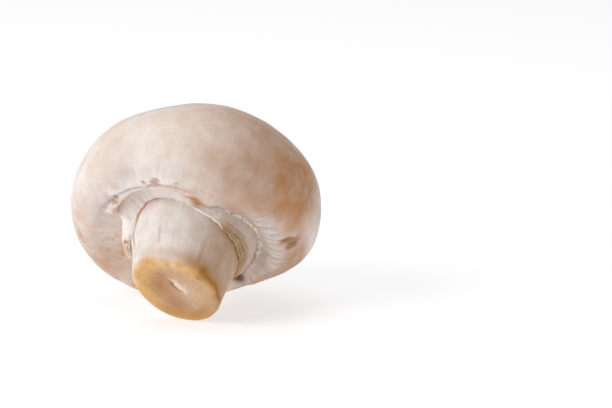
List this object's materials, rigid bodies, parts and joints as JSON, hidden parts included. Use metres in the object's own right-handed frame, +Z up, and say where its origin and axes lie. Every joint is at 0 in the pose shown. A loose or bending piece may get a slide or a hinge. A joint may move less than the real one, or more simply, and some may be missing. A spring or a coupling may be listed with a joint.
{
  "type": "button mushroom",
  "caption": "Whole button mushroom lying on the side of its domed cap and on the cut end of its short stem, with a thin torn veil between cap margin and stem.",
  "frame": {"origin": "centre of the bounding box at the surface that the mushroom lies on", "axes": "+X along the cap's width, the longest extent; +Z up; the cut end of the stem points towards -Y and down"},
  "size_m": [0.0542, 0.0478, 0.045],
  "materials": {
    "cap": "silky skin, cream white with pinkish tan blotches",
    "stem": "dull fibrous flesh, ochre at the cut end",
    "veil": "dull thin skin",
    "gills": "dull pinkish brown"
  },
  "bodies": {
    "root": {"cap": "cap", "stem": "stem", "veil": "veil", "gills": "gills"}
  },
  "joints": []
}
